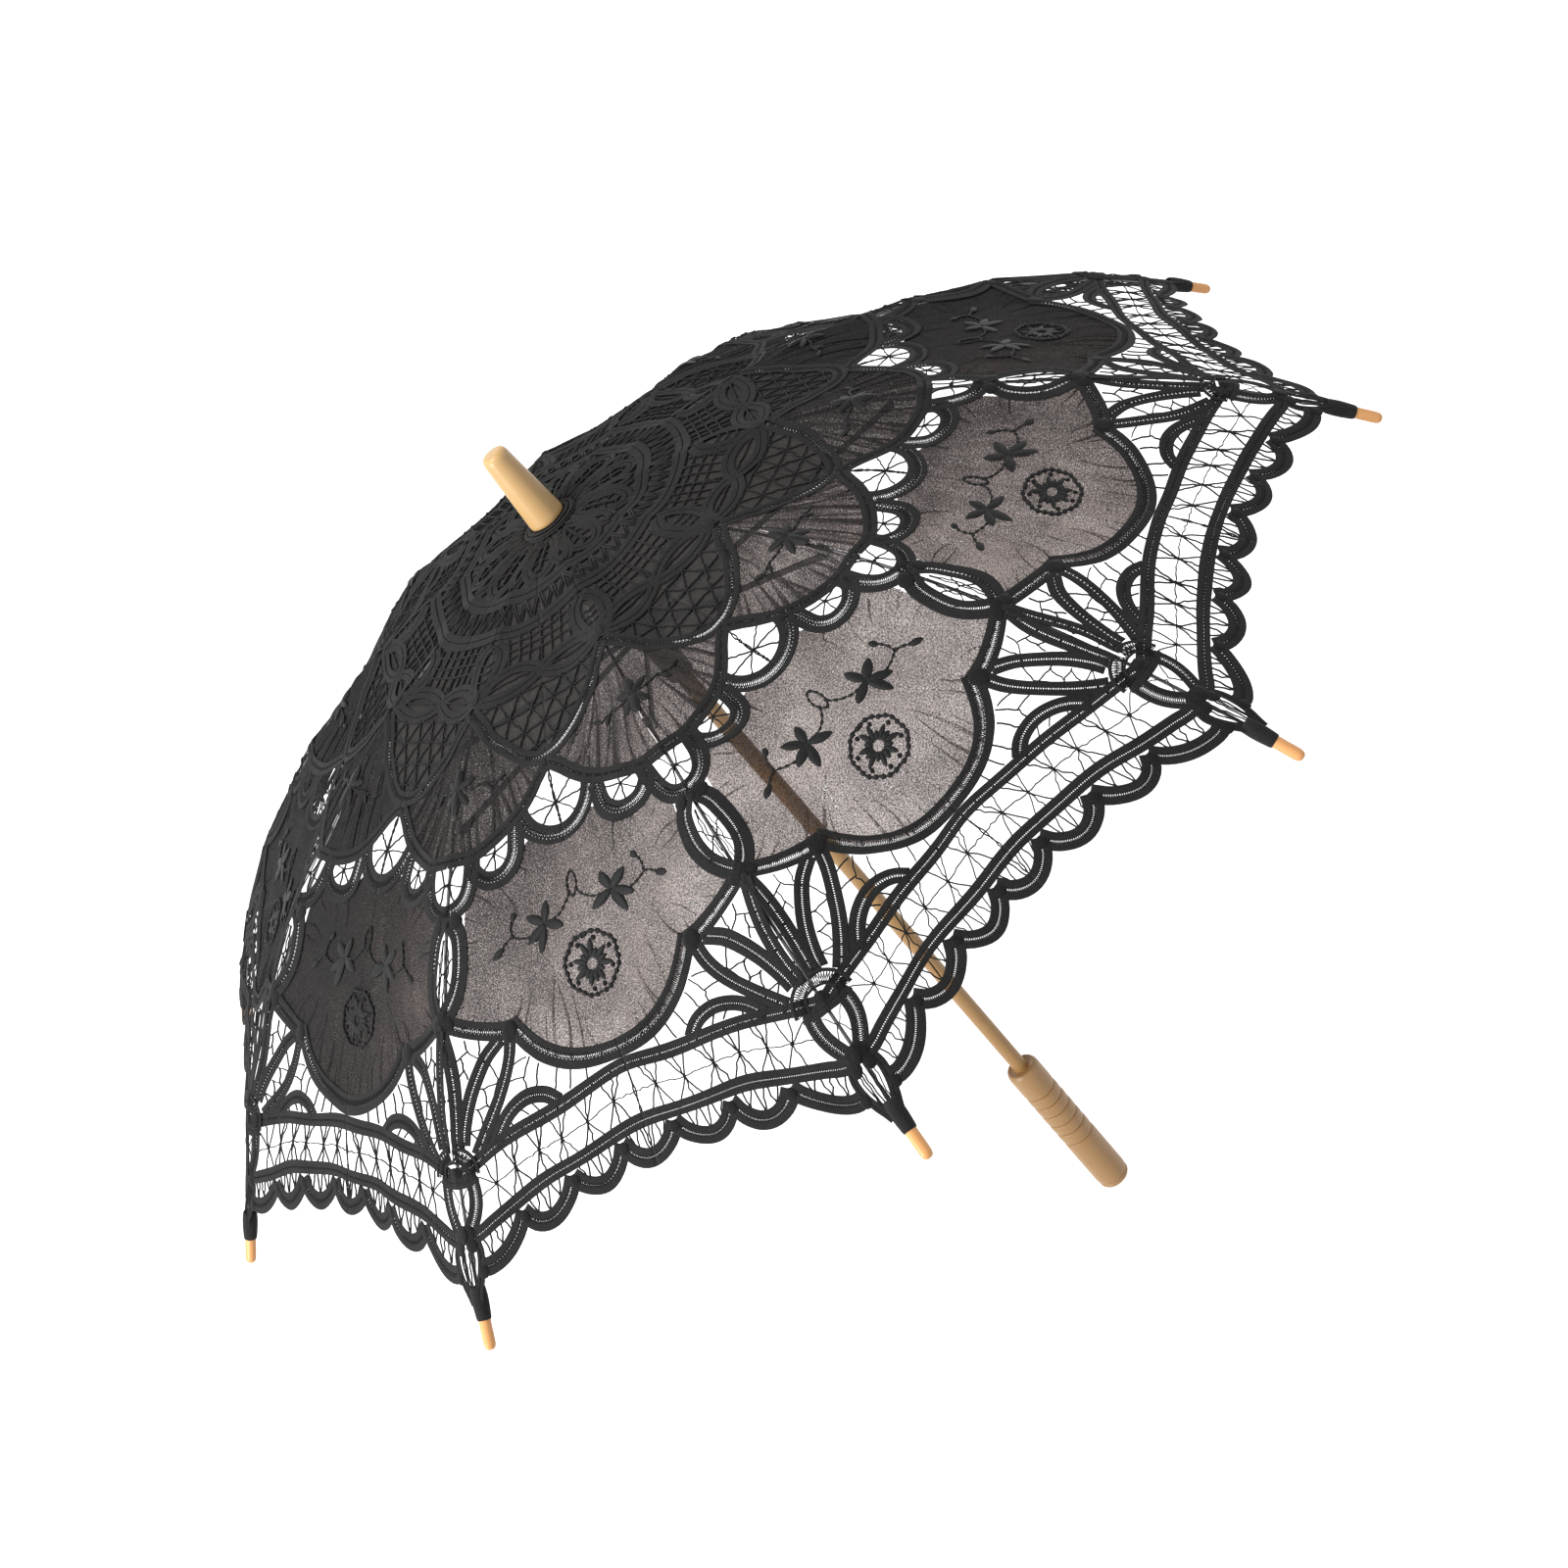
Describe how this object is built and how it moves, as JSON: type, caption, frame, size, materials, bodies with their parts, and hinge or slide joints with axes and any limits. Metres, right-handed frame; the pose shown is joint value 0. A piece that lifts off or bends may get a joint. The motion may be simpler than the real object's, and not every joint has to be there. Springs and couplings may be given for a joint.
{
  "type": "parasol",
  "caption": "Folding parasol with a wooden stick, sprung wire ribs with wooden tips, a sliding runner and a scalloped black tape lace canopy.",
  "frame": {"origin": "centre of the handle's flat end face, where the hand's grip is taken", "axes": "+Z along the shaft from the handle to the ferrule; +X along rib 1, the others every 36 degrees from it"},
  "size_m": [0.802, 0.7628, 0.656],
  "materials": {
    "handle_wood": "clear satin lacquer",
    "shaft_wood": "clear satin lacquer",
    "ferrule_wood": "clear satin lacquer",
    "tip_wood": "clear satin lacquer",
    "runner_wood": "clear satin lacquer",
    "rib_wire": "black enamel",
    "steel": "bright",
    "crown_plastic": "moulded",
    "lace_tape": "woven cotton tape lace",
    "chiffon": "sheer woven chiffon",
    "lining": "sheer woven lining",
    "thread": "twisted cotton thread"
  },
  "bodies": {
    "stick": {"handle": "handle_wood", "shaft": "shaft_wood", "ferrule": "ferrule_wood", "crown": "crown_plastic", "crown_ring": "steel", "canopy": "lace_tape"},
    "runner": {"runner": "runner_wood"},
    "top_catch": {"top_catch": "steel"},
    "rib_01": {"rib_01_inner": "rib_wire", "rib_01_clip": "steel"},
    "rib_01_end": {"rib_01_outer": "rib_wire", "rib_01_tip": "tip_wood"},
    "stretcher_01": {"stretcher_01": "rib_wire"},
    "rib_02": {"rib_02_inner": "rib_wire", "rib_02_clip": "steel"},
    "rib_02_end": {"rib_02_outer": "rib_wire", "rib_02_tip": "tip_wood"},
    "stretcher_02": {"stretcher_02": "rib_wire"},
    "rib_03": {"rib_03_inner": "rib_wire", "rib_03_clip": "steel"},
    "rib_03_end": {"rib_03_outer": "rib_wire", "rib_03_tip": "tip_wood"},
    "stretcher_03": {"stretcher_03": "rib_wire"},
    "rib_04": {"rib_04_inner": "rib_wire", "rib_04_clip": "steel"},
    "rib_04_end": {"rib_04_outer": "rib_wire", "rib_04_tip": "tip_wood"},
    "stretcher_04": {"stretcher_04": "rib_wire"},
    "rib_05": {"rib_05_inner": "rib_wire", "rib_05_clip": "steel"},
    "rib_05_end": {"rib_05_outer": "rib_wire", "rib_05_tip": "tip_wood"},
    "stretcher_05": {"stretcher_05": "rib_wire"},
    "rib_06": {"rib_06_inner": "rib_wire", "rib_06_clip": "steel"},
    "rib_06_end": {"rib_06_outer": "rib_wire", "rib_06_tip": "tip_wood"},
    "stretcher_06": {"stretcher_06": "rib_wire"},
    "rib_07": {"rib_07_inner": "rib_wire", "rib_07_clip": "steel"},
    "rib_07_end": {"rib_07_outer": "rib_wire", "rib_07_tip": "tip_wood"},
    "stretcher_07": {"stretcher_07": "rib_wire"},
    "rib_08": {"rib_08_inner": "rib_wire", "rib_08_clip": "steel"},
    "rib_08_end": {"rib_08_outer": "rib_wire", "rib_08_tip": "tip_wood"},
    "stretcher_08": {"stretcher_08": "rib_wire"},
    "rib_09": {"rib_09_inner": "rib_wire", "rib_09_clip": "steel"},
    "rib_09_end": {"rib_09_outer": "rib_wire", "rib_09_tip": "tip_wood"},
    "stretcher_09": {"stretcher_09": "rib_wire"},
    "rib_10": {"rib_10_inner": "rib_wire", "rib_10_clip": "steel"},
    "rib_10_end": {"rib_10_outer": "rib_wire", "rib_10_tip": "tip_wood"},
    "stretcher_10": {"stretcher_10": "rib_wire"}
  },
  "joints": [
    {"name": "runner_slide", "type": "slide", "parent": "stick", "child": "runner", "axis": [0, 0, -1], "range_m": [0, 0.2927], "deforming": ["canopy"]},
    {"name": "catch_press", "type": "slide", "parent": "stick", "child": "top_catch", "axis": [-0.9511, -0.309, 0], "range_m": [0, 0.0025], "stiffness_N_per_m": 400},
    {"name": "rib_01_fold", "type": "hinge", "parent": "stick", "child": "rib_01", "pos_m": [0.011, 0, 0.6036], "axis": [0, 1, 0], "range_deg": [0, 77.56]},
    {"name": "rib_01_flex", "type": "hinge", "parent": "rib_01", "child": "rib_01_end", "pos_m": [0.2, 0, 0.56578], "axis": [0, -1, 0], "range_deg": [0, 23.36]},
    {"name": "stretcher_01_fold", "type": "hinge", "parent": "rib_01", "child": "stretcher_01", "pos_m": [0.19321, 0, 0.56337], "axis": [0, -1, 0], "range_deg": [0, 155.11]},
    {"name": "rib_02_fold", "type": "hinge", "parent": "stick", "child": "rib_02", "pos_m": [0.0089, 0.00647, 0.6036], "axis": [-0.5878, 0.809, 0], "range_deg": [0, 77.56]},
    {"name": "rib_02_flex", "type": "hinge", "parent": "rib_02", "child": "rib_02_end", "pos_m": [0.1618, 0.11756, 0.56578], "axis": [0.5878, -0.809, 0], "range_deg": [0, 23.36]},
    {"name": "stretcher_02_fold", "type": "hinge", "parent": "rib_02", "child": "stretcher_02", "pos_m": [0.15631, 0.11357, 0.56337], "axis": [0.5878, -0.809, 0], "range_deg": [0, 155.11]},
    {"name": "rib_03_fold", "type": "hinge", "parent": "stick", "child": "rib_03", "pos_m": [0.0034, 0.01046, 0.6036], "axis": [-0.9511, 0.309, 0], "range_deg": [0, 77.56]},
    {"name": "rib_03_flex", "type": "hinge", "parent": "rib_03", "child": "rib_03_end", "pos_m": [0.0618, 0.19021, 0.56578], "axis": [0.9511, -0.309, 0], "range_deg": [0, 23.36]},
    {"name": "stretcher_03_fold", "type": "hinge", "parent": "rib_03", "child": "stretcher_03", "pos_m": [0.05971, 0.18376, 0.56337], "axis": [0.9511, -0.309, 0], "range_deg": [0, 155.11]},
    {"name": "rib_04_fold", "type": "hinge", "parent": "stick", "child": "rib_04", "pos_m": [-0.0034, 0.01046, 0.6036], "axis": [-0.9511, -0.309, 0], "range_deg": [0, 77.56]},
    {"name": "rib_04_flex", "type": "hinge", "parent": "rib_04", "child": "rib_04_end", "pos_m": [-0.0618, 0.19021, 0.56578], "axis": [0.9511, 0.309, 0], "range_deg": [0, 23.36]},
    {"name": "stretcher_04_fold", "type": "hinge", "parent": "rib_04", "child": "stretcher_04", "pos_m": [-0.05971, 0.18376, 0.56337], "axis": [0.9511, 0.309, 0], "range_deg": [0, 155.11]},
    {"name": "rib_05_fold", "type": "hinge", "parent": "stick", "child": "rib_05", "pos_m": [-0.0089, 0.00647, 0.6036], "axis": [-0.5878, -0.809, 0], "range_deg": [0, 77.56]},
    {"name": "rib_05_flex", "type": "hinge", "parent": "rib_05", "child": "rib_05_end", "pos_m": [-0.1618, 0.11756, 0.56578], "axis": [0.5878, 0.809, 0], "range_deg": [0, 23.36]},
    {"name": "stretcher_05_fold", "type": "hinge", "parent": "rib_05", "child": "stretcher_05", "pos_m": [-0.15631, 0.11357, 0.56337], "axis": [0.5878, 0.809, 0], "range_deg": [0, 155.11]},
    {"name": "rib_06_fold", "type": "hinge", "parent": "stick", "child": "rib_06", "pos_m": [-0.011, 0, 0.6036], "axis": [0, -1, 0], "range_deg": [0, 77.56]},
    {"name": "rib_06_flex", "type": "hinge", "parent": "rib_06", "child": "rib_06_end", "pos_m": [-0.2, 0, 0.56578], "axis": [0, 1, 0], "range_deg": [0, 23.36]},
    {"name": "stretcher_06_fold", "type": "hinge", "parent": "rib_06", "child": "stretcher_06", "pos_m": [-0.19321, 0, 0.56337], "axis": [0, 1, 0], "range_deg": [0, 155.11]},
    {"name": "rib_07_fold", "type": "hinge", "parent": "stick", "child": "rib_07", "pos_m": [-0.0089, -0.00647, 0.6036], "axis": [0.5878, -0.809, 0], "range_deg": [0, 77.56]},
    {"name": "rib_07_flex", "type": "hinge", "parent": "rib_07", "child": "rib_07_end", "pos_m": [-0.1618, -0.11756, 0.56578], "axis": [-0.5878, 0.809, 0], "range_deg": [0, 23.36]},
    {"name": "stretcher_07_fold", "type": "hinge", "parent": "rib_07", "child": "stretcher_07", "pos_m": [-0.15631, -0.11357, 0.56337], "axis": [-0.5878, 0.809, 0], "range_deg": [0, 155.11]},
    {"name": "rib_08_fold", "type": "hinge", "parent": "stick", "child": "rib_08", "pos_m": [-0.0034, -0.01046, 0.6036], "axis": [0.9511, -0.309, 0], "range_deg": [0, 77.56]},
    {"name": "rib_08_flex", "type": "hinge", "parent": "rib_08", "child": "rib_08_end", "pos_m": [-0.0618, -0.19021, 0.56578], "axis": [-0.9511, 0.309, 0], "range_deg": [0, 23.36]},
    {"name": "stretcher_08_fold", "type": "hinge", "parent": "rib_08", "child": "stretcher_08", "pos_m": [-0.05971, -0.18376, 0.56337], "axis": [-0.9511, 0.309, 0], "range_deg": [0, 155.11]},
    {"name": "rib_09_fold", "type": "hinge", "parent": "stick", "child": "rib_09", "pos_m": [0.0034, -0.01046, 0.6036], "axis": [0.9511, 0.309, 0], "range_deg": [0, 77.56]},
    {"name": "rib_09_flex", "type": "hinge", "parent": "rib_09", "child": "rib_09_end", "pos_m": [0.0618, -0.19021, 0.56578], "axis": [-0.9511, -0.309, 0], "range_deg": [0, 23.36]},
    {"name": "stretcher_09_fold", "type": "hinge", "parent": "rib_09", "child": "stretcher_09", "pos_m": [0.05971, -0.18376, 0.56337], "axis": [-0.9511, -0.309, 0], "range_deg": [0, 155.11]},
    {"name": "rib_10_fold", "type": "hinge", "parent": "stick", "child": "rib_10", "pos_m": [0.0089, -0.00647, 0.6036], "axis": [0.5878, 0.809, 0], "range_deg": [0, 77.56]},
    {"name": "rib_10_flex", "type": "hinge", "parent": "rib_10", "child": "rib_10_end", "pos_m": [0.1618, -0.11756, 0.56578], "axis": [-0.5878, -0.809, 0], "range_deg": [0, 23.36]},
    {"name": "stretcher_10_fold", "type": "hinge", "parent": "rib_10", "child": "stretcher_10", "pos_m": [0.15631, -0.11357, 0.56337], "axis": [-0.5878, -0.809, 0], "range_deg": [0, 155.11]}
  ],
  "couplings": [
    {"joint": "rib_01_fold", "follows": "runner_slide", "rad_per_m": 4.6241},
    {"joint": "rib_01_flex", "follows": "runner_slide", "rad_per_m": 1.3922},
    {"joint": "stretcher_01_fold", "follows": "runner_slide", "rad_per_m": 9.2482},
    {"joint": "rib_02_fold", "follows": "runner_slide", "rad_per_m": 4.6241},
    {"joint": "rib_02_flex", "follows": "runner_slide", "rad_per_m": 1.3922},
    {"joint": "stretcher_02_fold", "follows": "runner_slide", "rad_per_m": 9.2482},
    {"joint": "rib_03_fold", "follows": "runner_slide", "rad_per_m": 4.6241},
    {"joint": "rib_03_flex", "follows": "runner_slide", "rad_per_m": 1.3922},
    {"joint": "stretcher_03_fold", "follows": "runner_slide", "rad_per_m": 9.2482},
    {"joint": "rib_04_fold", "follows": "runner_slide", "rad_per_m": 4.6241},
    {"joint": "rib_04_flex", "follows": "runner_slide", "rad_per_m": 1.3922},
    {"joint": "stretcher_04_fold", "follows": "runner_slide", "rad_per_m": 9.2482},
    {"joint": "rib_05_fold", "follows": "runner_slide", "rad_per_m": 4.6241},
    {"joint": "rib_05_flex", "follows": "runner_slide", "rad_per_m": 1.3922},
    {"joint": "stretcher_05_fold", "follows": "runner_slide", "rad_per_m": 9.2482},
    {"joint": "rib_06_fold", "follows": "runner_slide", "rad_per_m": 4.6241},
    {"joint": "rib_06_flex", "follows": "runner_slide", "rad_per_m": 1.3922},
    {"joint": "stretcher_06_fold", "follows": "runner_slide", "rad_per_m": 9.2482},
    {"joint": "rib_07_fold", "follows": "runner_slide", "rad_per_m": 4.6241},
    {"joint": "rib_07_flex", "follows": "runner_slide", "rad_per_m": 1.3922},
    {"joint": "stretcher_07_fold", "follows": "runner_slide", "rad_per_m": 9.2482},
    {"joint": "rib_08_fold", "follows": "runner_slide", "rad_per_m": 4.6241},
    {"joint": "rib_08_flex", "follows": "runner_slide", "rad_per_m": 1.3922},
    {"joint": "stretcher_08_fold", "follows": "runner_slide", "rad_per_m": 9.2482},
    {"joint": "rib_09_fold", "follows": "runner_slide", "rad_per_m": 4.6241},
    {"joint": "rib_09_flex", "follows": "runner_slide", "rad_per_m": 1.3922},
    {"joint": "stretcher_09_fold", "follows": "runner_slide", "rad_per_m": 9.2482},
    {"joint": "rib_10_fold", "follows": "runner_slide", "rad_per_m": 4.6241},
    {"joint": "rib_10_flex", "follows": "runner_slide", "rad_per_m": 1.3922},
    {"joint": "stretcher_10_fold", "follows": "runner_slide", "rad_per_m": 9.2482}
  ]
}
